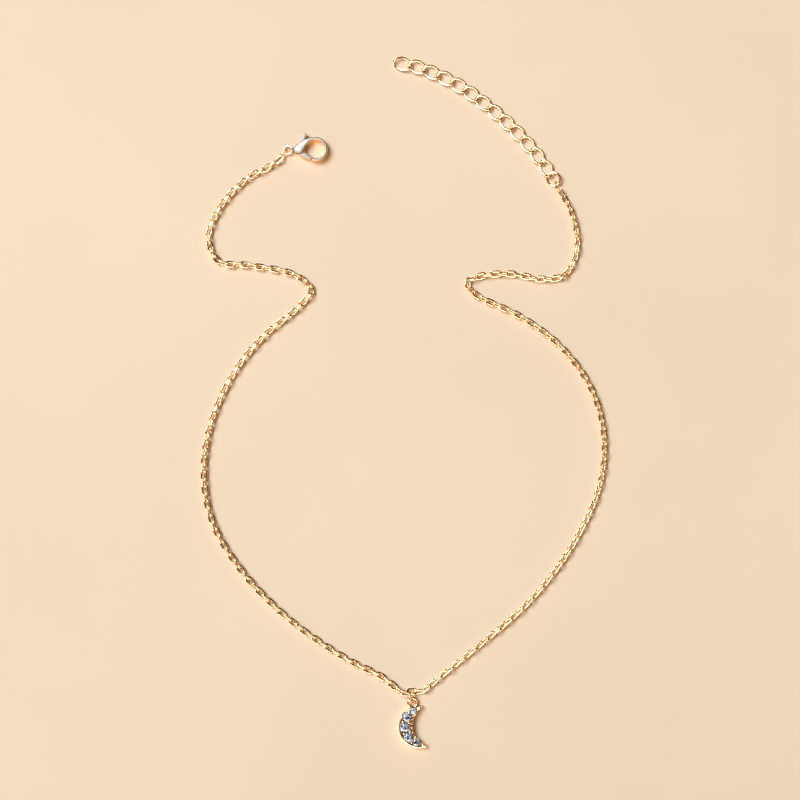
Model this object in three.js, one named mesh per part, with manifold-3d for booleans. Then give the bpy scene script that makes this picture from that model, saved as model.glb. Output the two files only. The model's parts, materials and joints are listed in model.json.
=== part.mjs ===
// Cable-chain necklace with a stone-set crescent pendant, a lobster clasp and an extender chain,
// laid flat with its front up. Units are millimetres. +Z points up from the surface, +Y towards the
// open end with the clasp and the extender, +X to the extender's side. The origin is the middle of
// the outline, on the surface.
//
// Every moving piece is built around its own hinge point: the origin of its mesh is the point where
// it hangs on the piece before it, and its local x axis points along the chain, away from the
// pendant.

import * as THREE from 'three';
import { mergeVertices } from 'three/addons/utils/BufferGeometryUtils.js';
import Module from 'manifold-3d';

const wasm = await Module();
wasm.setup();

// ---------------------------------------------------------------- driving dimensions

// Chain: oval links, each a quarter turn from the last, in runs that are one plain tube each.
const CHAIN_WIRE = 0.45;
const CHAIN_LINK_WIDTH = 1.9;
const CHAIN_HEIGHT = 1.6;
const CENTRE_LINK_LENGTH = 2.76;
const LINKS_PER_RUN = 7;
const LEFT_RUNS = 15;
const RIGHT_RUNS = 14;
const RUN_GAP = 0.5;
const RUN_STEPS = 4;
const CENTRE_LINK_ROLL = -38;
const END_LINK_ROLL = 50;

// Where the chain lies, from the centre link outwards, chosen by hand.
const LEFT_ROUTE = [
  [2.1, -72.3], [0.2, -72.7], [-1.6, -71.6], [-4.1, -69.5], [-6.6, -67.9],
  [-13.4, -64.6], [-28.4, -54.4], [-40.6, -41.9], [-47.9, -29.4], [-49.9, -16.9],
  [-47.9, -4.4], [-42.1, 7.9], [-34.6, 16.9], [-26.2, 23.9], [-23.1, 28.1], [-27.0, 31.8],
  [-38.4, 34.3], [-46.1, 35.3], [-48.7, 41.0], [-46.0, 48.6], [-39.0, 56.1], [-32.9, 59.4],
  [-29.8, 62.1],
];
const RIGHT_ROUTE = [
  [2.1, -72.3], [4.2, -72.3], [6.0, -71.2], [9.3, -68.5],
  [16.6, -62.6], [31.6, -49.6], [42.9, -34.6], [49.4, -19.4], [50.0, -6.9],
  [46.6, 4.2], [39.1, 14.2], [29.1, 21.6], [17.6, 27.4], [16.2, 30.0], [19.6, 31.7],
  [27.6, 32.1], [34.4, 30.9], [40.2, 31.9], [43.4, 38.1], [42.3, 46.9], [38.5, 54.1],
];

// Extender: oval links twisted so that they lie flat, from the ring at the chain to the free end.
const EXTENDER_LINKS = 13;
const EXTENDER_WIRE = 0.55;
const EXTENDER_LINK_LENGTH = 5.1;
const EXTENDER_LINK_WIDTH = 3.6;
const EXTENDER_PITCH = 3.8;
const EXTENDER_TWIST = 34;
const EXTENDER_AXIS_HEIGHT = 0.73;
const EXTENDER_RING_DIAMETER = 3.85;
const EXTENDER_RING_ROLL = -16;
const EXTENDER_FIRST_REACH = 3.15;
const EXTENDER_ROUTE = [
  [32.4, 63.1], [24.9, 70.9], [13.6, 79.4], [3.4, 83.9], [-1.6, 84.9],
];

// How far a ring's wire lies from the middle of the chain's end link that it hangs in.
const WIRE_IN_LINK = 0.38;

// Clasp: a cast body with a hook, a slot for the lever, and an eye at the tail. Its own frame has
// the middle of the hook at the origin and the tail on the -x side.
const CLASP_THICKNESS = 2.2;
const CLASP_BEVEL = 0.25;
const HOOK_OUTER = 3.0;
const HOOK_INNER = 2.3;
const HOOK_TIP_OUTSIDE = -116;
const HOOK_TIP_INSIDE = -102;
const HOOK_ROOT_ANGLE = 145;
const SLOT_WIDTH = 1.2;
const LEVER_THICKNESS = 0.9;
const GATE_THICKNESS = 1.9;
const PIVOT = [-3.3, 0.35];
const RIVET_RADIUS = 0.27;
const RIVET_FIT = 0.05;
const EYE_CENTRE = [-6.0, -0.05];
const EYE_RADIUS = 0.5;
const EYE_WIRE = 0.4;
const CLASP_RING_DIAMETER = 2.4;
const CLASP_RING_WIRE = 0.38;
const CLASP_RING_TILT = 12;
const CLASP_RING_HEADING = 55;
const SPRING_RADIUS = 0.36;
const SPRING_WIRE = 0.15;
const SPRING_TURNS = 4;
const SPRING_START = -4.75;
const SPRING_END = -4.1;
const SPRING_SIDE = 0.95;

// Crescent pendant: a flat-backed setting between two arcs, five seats for stones, and a loop.
const SETTING_THICKNESS = 1.9;
const OUTER_ARC_RADIUS = 5.1;
const TOP_TIP = [4.5, -76.0];
const BOTTOM_TIP = [5.55, -85.9];
const INNER_ARC_RADIUS = 6.0;
const TIP_BEAD_RADIUS = 0.32;
const STONES = [
  { at: [2.5, -76.95], diameter: 1.84 },
  { at: [0.88, -78.5], diameter: 2.56 },
  { at: [0.3, -81.08], diameter: 2.64 },
  { at: [1.3, -83.55], diameter: 2.58 },
  { at: [3.18, -84.85], diameter: 1.88 },
];
const STONE_FIT = 0.04;
const STONE_SIDES = 16;
const GIRDLE_HEIGHT = 1.86;
const SEAT_WALL = 0.17;
const SEAT_FLOOR = 0.6;
const PRONG_RADIUS = 0.2;
const LOOP_CENTRE = [2.28, -75.0];
const LOOP_RADIUS = 1.14;
const LOOP_WIRE = 0.62;
const BAIL_RING_DIAMETER = 3.6;
const BAIL_RING_WIRE = 0.5;
const BAIL_RING_CENTRE = [2.1, -73.5, 1.68];
const BAIL_RING_LEAN = -25;

// ---------------------------------------------------------------- materials

const gold = new THREE.MeshStandardMaterial({ color: 0xe6c08a, roughness: 0.18, metalness: 1 });
const paleGold = new THREE.MeshStandardMaterial({ color: 0xe9dcc6, roughness: 0.3, metalness: 1 });
const steel = new THREE.MeshStandardMaterial({ color: 0xb8b4ac, roughness: 0.35, metalness: 1 });
const crystal = new THREE.MeshStandardMaterial({ color: 0xb9c6e6, roughness: 0.05, metalness: 0 });

// ---------------------------------------------------------------- solids and meshes

const radians = THREE.MathUtils.degToRad;
const necklace = new THREE.Group();

function toSolid(geometry) {
  const bare = geometry.clone();
  bare.deleteAttribute('normal');
  bare.deleteAttribute('uv');
  const merged = mergeVertices(bare);
  return new wasm.Manifold(new wasm.Mesh({
    numProp: 3,
    vertProperties: merged.attributes.position.array,
    triVerts: new Uint32Array(merged.index.array),
  }));
}

function toGeometry(solid) {
  const mesh = solid.getMesh();
  const geometry = new THREE.BufferGeometry();
  geometry.setAttribute('position', new THREE.BufferAttribute(mesh.vertProperties, 3));
  geometry.setIndex(new THREE.BufferAttribute(mesh.triVerts, 1));
  geometry.computeVertexNormals();
  return geometry;
}

function addPiece(parent, name, geometry, material) {
  const piece = new THREE.Mesh(geometry, material);
  piece.name = name;
  parent.add(piece);
  return piece;
}

// An upright cylinder with its middle at (x, y, z).
function cylinder(radius, height, sides, x, y, z) {
  return new THREE.CylinderGeometry(radius, radius, height, sides).rotateX(Math.PI / 2).translate(x, y, z);
}

// A flat plate of a drawn outline, centred on z = 0, with its edges bevelled inside the outline.
function plate(outline, thickness, bevel = 0) {
  const geometry = new THREE.ExtrudeGeometry(outline, {
    depth: thickness - 2 * bevel,
    bevelEnabled: bevel > 0,
    bevelThickness: bevel,
    bevelSize: bevel,
    bevelOffset: -bevel,
    bevelSegments: 1,
    curveSegments: 6,
  });
  return geometry.translate(0, 0, bevel - thickness / 2);
}

// A wire link in the xy plane: two half rings of wire joined by straight sides along x. The
// number of segments round the ring leaves none of its vertices on the y axis, so the halves can
// be moved apart. The twist, in degrees, turns the +x end one way and the -x end the other.
function wireLink(length, width, wire, twist = 0) {
  const radius = (width - wire) / 2;
  const stretch = (length - width) / 2;
  const geometry = new THREE.TorusGeometry(radius, wire / 2, 8, 18);
  const vertices = geometry.attributes.position;
  const vertex = new THREE.Vector3();
  const along = new THREE.Vector3(1, 0, 0);
  for (let i = 0; i < vertices.count; i += 1) {
    vertex.fromBufferAttribute(vertices, i);
    vertex.x += Math.sign(vertex.x) * stretch;
    vertex.applyAxisAngle(along, -radians(twist) * vertex.x / (length / 2));
    vertices.setXYZ(i, vertex.x, vertex.y, vertex.z);
  }
  return geometry;
}

function route(points, height) {
  const curve = new THREE.CatmullRomCurve3(points.map(([x, y]) => new THREE.Vector3(x, y, height)));
  curve.arcLengthDivisions = 600;
  return curve;
}

// The point and the heading of a curve, a distance along it.
function placeOn(curve, distance) {
  const share = distance / curve.getLength();
  const tangent = curve.getTangentAt(share);
  return { point: curve.getPointAt(share), heading: Math.atan2(tangent.y, tangent.x) };
}

// A stretch of a curve between two distances along it.
class Stretch extends THREE.Curve {
  constructor(curve, from, to) {
    super();
    this.curve = curve;
    this.from = from;
    this.to = to;
  }

  getPoint(t) {
    return this.curve.getPointAt((this.from + (this.to - this.from) * t) / this.curve.getLength());
  }
}

// The point that lies ahead of a place on a curve, along its heading.
function ahead(place, distance) {
  const direction = new THREE.Vector3(Math.cos(place.heading), Math.sin(place.heading), 0);
  return place.point.clone().addScaledVector(direction, distance);
}

// Hangs a piece at its hinge, where its geometry is drawn around the hinge already.
function hangDrawn(piece, hinge, heading) {
  piece.position.copy(hinge);
  piece.rotation.z = heading;
}

// Hangs a piece at its hinge, where its geometry is drawn in place.
function hangPlaced(piece, hinge, heading = 0) {
  piece.geometry.translate(-hinge.x, -hinge.y, -hinge.z).rotateZ(-heading);
  hangDrawn(piece, hinge, heading);
}

// ---------------------------------------------------------------- cable chain

function octagon(height) {
  const corner = height / 2 / Math.cos(Math.PI / 8);
  const corners = Array.from({ length: 8 }, (_, i) => {
    const angle = (i + 0.5) * Math.PI / 4;
    return new THREE.Vector2(corner * Math.cos(angle), corner * Math.sin(angle));
  });
  return new THREE.Shape(corners);
}

// One half of the chain: runs of linked links as plain tubes, then a single open link at the end.
function addChain(side, points, runs) {
  const curve = route(points, CHAIN_HEIGHT / 2);
  const pitch = curve.getLength() / (runs * LINKS_PER_RUN + 1);
  const linkReach = pitch / 2 + CHAIN_WIRE + RUN_GAP / 2;
  for (let run = 1; run <= runs; run += 1) {
    const first = ((run - 1) * LINKS_PER_RUN + 0.5) * pitch;
    const last = first + LINKS_PER_RUN * pitch;
    const from = run === 1 ? linkReach : first + RUN_GAP / 2;
    const to = run === runs ? curve.getLength() - linkReach : last - RUN_GAP / 2;
    const geometry = new THREE.ExtrudeGeometry(octagon(CHAIN_HEIGHT), {
      steps: RUN_STEPS,
      bevelEnabled: false,
      extrudePath: new Stretch(curve, from, to),
    });
    const name = `${side}_chain_${String(run).padStart(2, '0')}`;
    const hinge = placeOn(curve, first);
    hangPlaced(addPiece(necklace, name, geometry, gold), hinge.point, hinge.heading);
  }
  const end = placeOn(curve, curve.getLength());
  const geometry = wireLink(pitch + 2 * CHAIN_WIRE, CHAIN_LINK_WIDTH, CHAIN_WIRE)
    .rotateX(radians(END_LINK_ROLL))
    .translate(pitch / 2, 0, 0);
  hangDrawn(addPiece(necklace, `${side}_end_link`, geometry, gold), ahead(end, -pitch / 2), end.heading);
  return end;
}

const leftEnd = addChain('left', LEFT_ROUTE, LEFT_RUNS);
const rightEnd = addChain('right', RIGHT_ROUTE, RIGHT_RUNS);

const centreLink = addPiece(
  necklace,
  'centre_link',
  wireLink(CENTRE_LINK_LENGTH, CHAIN_LINK_WIDTH, CHAIN_WIRE).rotateX(radians(CENTRE_LINK_ROLL)),
  gold,
);
centreLink.position.set(...LEFT_ROUTE[0], CHAIN_HEIGHT / 2);

// ---------------------------------------------------------------- extender chain

function addExtender() {
  const ringRadius = (EXTENDER_RING_DIAMETER - EXTENDER_WIRE) / 2;
  const ringHinge = ahead(rightEnd, WIRE_IN_LINK);
  const ringCentre = ahead(rightEnd, WIRE_IN_LINK + ringRadius);
  const ring = addPiece(
    necklace,
    'extender_ring',
    new THREE.TorusGeometry(ringRadius, EXTENDER_WIRE / 2, 8, 22)
      .rotateX(radians(EXTENDER_RING_ROLL))
      .translate(ringRadius, 0, 0),
    gold,
  );
  hangDrawn(ring, ringHinge.setZ(EXTENDER_AXIS_HEIGHT), rightEnd.heading);

  const curve = route([[ringCentre.x, ringCentre.y], ...EXTENDER_ROUTE], EXTENDER_AXIS_HEIGHT);
  for (let i = 1; i <= EXTENDER_LINKS; i += 1) {
    const middle = placeOn(curve, EXTENDER_FIRST_REACH + (i - 1) * EXTENDER_PITCH);
    const link = addPiece(
      necklace,
      `extender_link_${String(i).padStart(2, '0')}`,
      wireLink(EXTENDER_LINK_LENGTH, EXTENDER_LINK_WIDTH, EXTENDER_WIRE, EXTENDER_TWIST)
        .translate(EXTENDER_PITCH / 2, 0, 0),
      gold,
    );
    hangDrawn(link, ahead(middle, -EXTENDER_PITCH / 2), middle.heading);
  }
}

addExtender();

// ---------------------------------------------------------------- clasp

function onCircle(radius, degrees) {
  return [radius * Math.cos(radians(degrees)), radius * Math.sin(radians(degrees))];
}

// The ring lies almost flat: it hangs in the chain's end link, and rises a little towards the
// upright eye at the clasp's tail.
const claspRingRadius = (CLASP_RING_DIAMETER - CLASP_RING_WIRE) / 2;
const claspRingTilt = new THREE.Matrix4().makeRotationY(-radians(CLASP_RING_TILT));

function onClaspRing(degrees) {
  return new THREE.Vector3(...onCircle(claspRingRadius, degrees), 0).applyMatrix4(claspRingTilt);
}

const wireInEndLink = onClaspRing(CLASP_RING_HEADING + 180);
const wireInEye = onClaspRing(0);
const claspRingMiddle = ahead(leftEnd, WIRE_IN_LINK).sub(wireInEndLink);
claspRingMiddle.z = CLASP_THICKNESS / 2 - wireInEye.z;
const claspRing = addPiece(
  necklace,
  'clasp_ring',
  new THREE.TorusGeometry(claspRingRadius, CLASP_RING_WIRE / 2, 8, 22)
    .applyMatrix4(claspRingTilt)
    .translate(...claspRingMiddle),
  gold,
);
hangPlaced(claspRing, claspRingMiddle.clone().add(wireInEndLink));

const clasp = new THREE.Group();
clasp.position.copy(claspRingMiddle).add(wireInEye).sub(new THREE.Vector3(...EYE_CENTRE, 0));
necklace.add(clasp);

function vectors(points) {
  return points.map(([x, y]) => new THREE.Vector2(x, y));
}

// The hook's tip is cut on a slant, along the gate's swing, so that the gate opens inwards past it.
function claspOutline() {
  const outline = new THREE.Shape();
  outline.moveTo(...onCircle(HOOK_OUTER, HOOK_TIP_OUTSIDE));
  outline.absarc(0, 0, HOOK_OUTER, radians(HOOK_TIP_OUTSIDE), radians(92), false);
  outline.splineThru(vectors([[-1.8, 2.72], [-3.4, 1.98], [-4.8, 1.0], [-5.5, 0.35]]));
  outline.lineTo(-5.5, -0.5);
  outline.splineThru(vectors([[-4.9, -0.85], [-4.1, -1.0], [-3.35, -0.8]]));
  const root = onCircle(HOOK_INNER, HOOK_ROOT_ANGLE);
  outline.splineThru(vectors([[-2.8, 0.1], [-2.4, 0.85], root]));
  outline.absarc(0, 0, HOOK_INNER, radians(HOOK_ROOT_ANGLE), radians(HOOK_TIP_INSIDE), true);
  return outline;
}

function claspBody() {
  const slotStart = -4.85;
  const slotEnd = -1.9;
  const slot = new THREE.BoxGeometry(slotEnd - slotStart, 8, SLOT_WIDTH)
    .translate((slotStart + slotEnd) / 2, 0, 0);
  const eye = new THREE.TorusGeometry(EYE_RADIUS, EYE_WIRE / 2, 8, 20)
    .rotateX(Math.PI / 2)
    .translate(...EYE_CENTRE, 0);
  const rivetHole = cylinder(RIVET_RADIUS + RIVET_FIT, 4, 20, ...PIVOT, 0);
  const body = toSolid(plate(claspOutline(), CLASP_THICKNESS, CLASP_BEVEL))
    .add(toSolid(eye))
    .subtract(toSolid(slot))
    .subtract(toSolid(rivetHole));
  return toGeometry(body);
}

function leverGeometry() {
  const arm = new THREE.Shape();
  arm.moveTo(-3.1, 3.95);
  arm.splineThru(vectors([[-3.35, 3.3], [-3.5, 2.2], [-3.9, 1.2], [-3.95, 0.0], [-3.7, -1.0]]));
  arm.lineTo(-3.6, -1.6);
  arm.lineTo(-2.4, -1.6);
  arm.lineTo(-2.8, 0.2);
  arm.splineThru(vectors([[-2.7, 1.4], [-2.65, 2.2], [-2.3, 3.3], [-2.2, 3.95]]));

  const gate = new THREE.Shape();
  gate.moveTo(-4.4, -1.22);
  gate.quadraticCurveTo(-3.6, -1.95, -1.35, -2.6);
  gate.lineTo(-0.5, -2.08);
  gate.quadraticCurveTo(-1.75, -1.65, -2.45, -0.8);
  gate.lineTo(-3.2, -1.15);

  const hole = cylinder(RIVET_RADIUS + RIVET_FIT, 4, 20, ...PIVOT, 0);
  const lever = toSolid(plate(arm, LEVER_THICKNESS))
    .add(toSolid(plate(gate, GATE_THICKNESS)))
    .subtract(toSolid(hole));
  return toGeometry(lever);
}

class Helix extends THREE.Curve {
  getPoint(t) {
    const angle = 2 * Math.PI * SPRING_TURNS * t;
    return new THREE.Vector3(
      SPRING_START + (SPRING_END - SPRING_START) * t,
      SPRING_SIDE + SPRING_RADIUS * Math.cos(angle),
      SPRING_RADIUS * Math.sin(angle),
    );
  }
}

function springGeometry() {
  const section = new THREE.Shape();
  section.absarc(0, 0, SPRING_WIRE / 2, 0, 2 * Math.PI, false);
  return new THREE.ExtrudeGeometry(section, {
    steps: 12 * SPRING_TURNS,
    curveSegments: 3,
    bevelEnabled: false,
    extrudePath: new Helix(),
  });
}

addPiece(clasp, 'clasp_body', claspBody(), paleGold);
addPiece(clasp, 'clasp_rivet', cylinder(RIVET_RADIUS, CLASP_THICKNESS, 20, ...PIVOT, 0), paleGold);
addPiece(clasp, 'clasp_spring', springGeometry(), steel);
const lever = addPiece(clasp, 'clasp_lever', leverGeometry(), paleGold);
hangPlaced(lever, new THREE.Vector3(...PIVOT, 0));

// ---------------------------------------------------------------- crescent pendant

// Two arcs that share their ends: the outer one bulges away from the inner one's centre.
function crescentOutline() {
  const top = new THREE.Vector2(...TOP_TIP);
  const bottom = new THREE.Vector2(...BOTTOM_TIP);
  const half = top.distanceTo(bottom) / 2;
  const middle = top.clone().add(bottom).multiplyScalar(0.5);
  const across = new THREE.Vector2(top.y - bottom.y, bottom.x - top.x).normalize();
  const outer = middle.clone().addScaledVector(across, -Math.sqrt(OUTER_ARC_RADIUS ** 2 - half ** 2));
  const inner = middle.clone().addScaledVector(across, Math.sqrt(INNER_ARC_RADIUS ** 2 - half ** 2));
  const angle = (centre, point) => point.clone().sub(centre).angle();

  const outline = new THREE.Shape();
  outline.absarc(...outer, OUTER_ARC_RADIUS, angle(outer, top), angle(outer, bottom), false);
  outline.absarc(...inner, INNER_ARC_RADIUS, angle(inner, bottom), angle(inner, top), true);
  return outline;
}

// The two places beside the joint of neighbouring stones where a bead of metal holds both.
function prongPlaces(a, b) {
  const from = new THREE.Vector2(...a.at);
  const to = new THREE.Vector2(...b.at);
  const apart = from.distanceTo(to);
  const reachA = a.diameter / 2 + PRONG_RADIUS + STONE_FIT;
  const reachB = b.diameter / 2 + PRONG_RADIUS + STONE_FIT;
  const along = (apart ** 2 + reachA ** 2 - reachB ** 2) / (2 * apart);
  const aside = Math.sqrt(reachA ** 2 - along ** 2);
  const direction = to.clone().sub(from).normalize();
  const normal = new THREE.Vector2(-direction.y, direction.x);
  return [-aside, aside].map((offset) => from.clone()
    .addScaledVector(direction, along)
    .addScaledVector(normal, offset));
}

function settingGeometry() {
  const middle = SETTING_THICKNESS / 2;
  let metal = toSolid(plate(crescentOutline(), SETTING_THICKNESS).translate(0, 0, middle));
  [TOP_TIP, BOTTOM_TIP].forEach((tip) => {
    metal = metal.add(toSolid(cylinder(TIP_BEAD_RADIUS, SETTING_THICKNESS, 14, ...tip, middle)));
  });
  STONES.forEach(({ at, diameter }) => {
    const collar = cylinder(diameter / 2 + SEAT_WALL, SETTING_THICKNESS, 28, ...at, middle);
    metal = metal.add(toSolid(collar));
  });
  const loop = new THREE.TorusGeometry(LOOP_RADIUS, LOOP_WIRE / 2, 8, 22)
    .translate(...LOOP_CENTRE, middle);
  metal = metal.add(toSolid(loop));
  STONES.slice(1).forEach((stone, i) => {
    prongPlaces(STONES[i], stone).forEach(({ x, y }) => {
      metal = metal.add(toSolid(cylinder(PRONG_RADIUS, SETTING_THICKNESS + 0.2, 10, x, y, middle + 0.1)));
    });
  });
  STONES.forEach(({ at, diameter }) => {
    const depth = SETTING_THICKNESS - SEAT_FLOOR + 1;
    const seat = cylinder(diameter / 2 + STONE_FIT, depth, 28, ...at, SEAT_FLOOR + depth / 2);
    metal = metal.subtract(toSolid(seat));
  });
  return toGeometry(metal);
}

// A round brilliant cut: pavilion, girdle, crown and table.
function stoneGeometry(diameter) {
  const girdle = diameter / 2;
  const profile = [
    [0, -0.43 * diameter],
    [girdle, -0.03],
    [girdle, 0.03],
    [0.56 * girdle, 0.14 * diameter],
    [0, 0.14 * diameter],
  ];
  return new THREE.LatheGeometry(vectors(profile), STONE_SIDES).rotateX(Math.PI / 2);
}

const pendantHinge = new THREE.Vector3(LOOP_CENTRE[0], LOOP_CENTRE[1] + LOOP_RADIUS, SETTING_THICKNESS / 2);
const setting = addPiece(necklace, 'crescent_setting', settingGeometry(), gold);
hangPlaced(setting, pendantHinge);

STONES.forEach(({ at, diameter }, i) => {
  const stone = addPiece(necklace, `stone_${i + 1}`, stoneGeometry(diameter), crystal);
  stone.position.set(...at, GIRDLE_HEIGHT);
});

const bailRing = addPiece(
  necklace,
  'bail_ring',
  new THREE.TorusGeometry((BAIL_RING_DIAMETER - BAIL_RING_WIRE) / 2, BAIL_RING_WIRE / 2, 8, 22)
    .rotateY(Math.PI / 2 + radians(BAIL_RING_LEAN)),
  gold,
);
bailRing.position.set(...BAIL_RING_CENTRE);

export default necklace;
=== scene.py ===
"""Cable-chain necklace with a stone-set crescent, a lobster clasp and an extender chain.

It lies flat on a pale surface, seen from straight above. Places are in the CAD model's frame. Shapes
are drawn in millimetres and turned into metres when their mesh is done.
"""

import itertools
import json
import math
import random

import bmesh
import bpy
from mathutils import Matrix, Vector

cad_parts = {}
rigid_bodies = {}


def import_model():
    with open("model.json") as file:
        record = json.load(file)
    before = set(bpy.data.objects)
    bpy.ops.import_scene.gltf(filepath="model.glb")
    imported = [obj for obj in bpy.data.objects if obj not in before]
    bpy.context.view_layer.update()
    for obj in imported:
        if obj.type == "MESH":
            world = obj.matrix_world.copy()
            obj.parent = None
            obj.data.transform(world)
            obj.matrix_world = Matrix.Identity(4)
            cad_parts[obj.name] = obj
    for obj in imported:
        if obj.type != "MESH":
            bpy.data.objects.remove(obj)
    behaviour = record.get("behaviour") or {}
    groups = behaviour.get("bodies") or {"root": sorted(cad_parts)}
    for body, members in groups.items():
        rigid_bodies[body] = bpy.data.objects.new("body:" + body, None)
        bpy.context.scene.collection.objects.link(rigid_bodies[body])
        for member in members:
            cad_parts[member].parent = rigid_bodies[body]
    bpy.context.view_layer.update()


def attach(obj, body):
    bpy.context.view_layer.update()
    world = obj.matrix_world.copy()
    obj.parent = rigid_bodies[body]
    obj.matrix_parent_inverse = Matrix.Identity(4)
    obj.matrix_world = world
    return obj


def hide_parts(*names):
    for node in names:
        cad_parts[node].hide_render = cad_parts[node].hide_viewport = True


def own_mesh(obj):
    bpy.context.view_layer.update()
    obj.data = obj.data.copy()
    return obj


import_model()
MM = 0.001

# ---------------------------------------------------------------- sizes, in millimetres and degrees

# How finely meshes are divided, which edges stay sharp, and what counts as level, as one point and
# as a corner.
WIRE_SIDES = 16
LINK_STEPS = 32
RING_STEPS = 48
DRUM_SIDES = 48
DOME_SIDES = 20
DOME_ROWS = 5
SHARP_EDGE = 35
SETTING_SHARP_EDGE = 40
FACET_EDGE = 1
LEVEL = 1e-6
SAME_POINT = 1e-4
CORNER_TURN = 35

# The chain. Its links lie a little higher than their CAD tubes, so that they clear the surface. A
# roll is a turn about a link's own length.
CHAIN_WIRE = 0.56
CHAIN_FLAT = 0.78
END_LINK_WIRE = 0.47
CHAIN_LINK_WIDTH = 1.82
END_LINK_WIDTH = 1.9
LINK_PLAY = 0.02
CHAIN_AXIS_HEIGHT = 0.9
CENTRE_LINK_LENGTH = 2.76
CHAIN_CAD_HEIGHT = 0.8
LINKS_PER_RUN = 7
LEFT_RUNS = 15
RIGHT_RUNS = 14
NARROW_ROLL = -67
CENTRE_ROLL = -38
END_ROLL = 50
ROLL_SPREAD = 5
SETTLING_LINKS = 3
LEFT_ROUTE = [
    (2.1, -72.3), (0.2, -72.7), (-1.6, -71.6), (-4.1, -69.5), (-6.6, -67.9),
    (-13.4, -64.6), (-28.4, -54.4), (-40.6, -41.9), (-47.9, -29.4), (-49.9, -16.9),
    (-47.9, -4.4), (-42.1, 7.9), (-34.6, 16.9), (-26.2, 23.9), (-23.1, 28.1), (-27.0, 31.8),
    (-38.4, 34.3), (-46.1, 35.3), (-48.7, 41.0), (-46.0, 48.6), (-39.0, 56.1), (-32.9, 59.4),
    (-29.8, 62.1),
]
RIGHT_ROUTE = [
    (2.1, -72.3), (4.2, -72.3), (6.0, -71.2), (9.3, -68.5),
    (16.6, -62.6), (31.6, -49.6), (42.9, -34.6), (49.4, -19.4), (50.0, -6.9),
    (46.6, 4.2), (39.1, 14.2), (29.1, 21.6), (17.6, 27.4), (16.2, 30.0), (19.6, 31.7),
    (27.6, 32.1), (34.4, 30.9), (40.2, 31.9), (43.4, 38.1), (42.3, 46.9), (38.5, 54.1),
]

# The extender.
EXTENDER_LINKS = 13
EXTENDER_WIRE = 0.55
EXTENDER_FLAT = 0.85
EXTENDER_LINK_LENGTH = 5.1
EXTENDER_LINK_WIDTH = 3.6
EXTENDER_PITCH = 3.8
EXTENDER_TWIST = 34
EXTENDER_AXIS_HEIGHT = 0.73
EXTENDER_RING_DIAMETER = 3.85
EXTENDER_RING_ROLL = -16
EXTENDER_FIRST_REACH = 3.15
EXTENDER_ROUTE = [(32.4, 63.1), (24.9, 70.9), (13.6, 79.4), (3.4, 83.9), (-1.6, 84.9)]
WIRE_IN_LINK = 0.38

# The clasp, from the middle of its hook, with its tail towards -x.
CLASP_THICKNESS = 2.2
CLASP_ROUNDING = 0.3
HOOK_OUTER = 3.0
HOOK_INNER = 2.3
HOOK_TIP_OUTSIDE = -116
HOOK_TIP_INSIDE = -102
HOOK_BACK_ANGLE = 92
HOOK_ROOT_ANGLE = 145
HOOK_OUTER_STEPS = 44
HOOK_INNER_STEPS = 40
TAPER_START = -3.6
TAPER_LENGTH = 1.9
TAPER_SHARE = 0.5
TAPER_POWER = 1.5
SLOT_WIDTH = 1.2
SLOT_START = -4.85
SLOT_END = -1.9
SLOT_REACH = 4
LEVER_THICKNESS = 0.9
LEVER_ROUNDING = 0.14
LEVER_FIT = 0.05
GATE_THICKNESS = 1.9
GATE_ROUNDING = 0.18
PIVOT = (-3.3, 0.35)
RIVET_RADIUS = 0.27
RIVET_HALF_LENGTH = 1.09
RIVET_FIT = 0.01
HOLE_REACH = 2
EYE_CENTRE = (-6.0, -0.05)
EYE_RADIUS = 0.5
EYE_WIRE = 0.4
EYE_WIDENING = 1.4
CLASP_RING_DIAMETER = 2.4
CLASP_RING_WIRE = 0.38
CLASP_RING_THICKENING = 0.04
CLASP_RING_TILT = 12
CLASP_RING_HEADING = 55
SPRING_RADIUS = 0.36
SPRING_WIRE = 0.15
SPRING_TURNS = 4
SPRING_TURN_STEPS = 26
SPRING_WIRE_SIDES = 8
SPRING_START = -4.75
SPRING_END = -4.1
SPRING_SIDE = 0.95

# The crescent, its beads and its cups. Rises and falls are from the top of the setting.
SETTING_THICKNESS = 1.9
SETTING_ROUNDING = 0.1
OUTER_ARC_RADIUS = 5.1
OUTER_ARC_STEPS = 56
INNER_ARC_RADIUS = 6.0
INNER_ARC_STEPS = 40
TOP_TIP = (4.5, -76.0)
BOTTOM_TIP = (5.55, -85.9)
TIP_RADIUS = 0.2
TIP_FOOT = 0.02
TIP_FALL = 0.3
TOP_BEAD = (3.95, -76.25)
BOTTOM_BEAD = (4.75, -85.4)
RIM_WIDTH = 0.32
RIM_EDGE = 0.06
RIM_SLOPE = 18
TRAY_DEPTH = 0.6
TRAY_ROUNDING = 0.03
BEAD_RADIUS = 0.29
BEAD_FOOT = 0.3
TIP_BEAD_RISE = 0.2
PRONG_REACH = 0.2
PRONG_RISE = 0.36
ROW_BEADS = 6
ROW_RADIUS = 0.2
ROW_RISE = 0.1
ROW_MARGIN = 0.42
ROW_ANGLES = (156, 206)
CUP_WALL = 0.1
CUP_FOOT = 0.01
CUP_FALL = 0.06
SEAT_FLOOR = 0.6
SEAT_HEADROOM = 0.6
SEAT_NARROWING = 0.25
SEAT_FLARE = 0.12
LOOP_CENTRE = (2.28, -75.0)
LOOP_RADIUS = 1.14
LOOP_WIRE = 0.62
BAIL_RING_DIAMETER = 3.6
BAIL_RING_WIRE = 0.5
BAIL_RING_CENTRE = (2.1, -73.5, 1.68)
BAIL_RING_LEAN = -25

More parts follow.
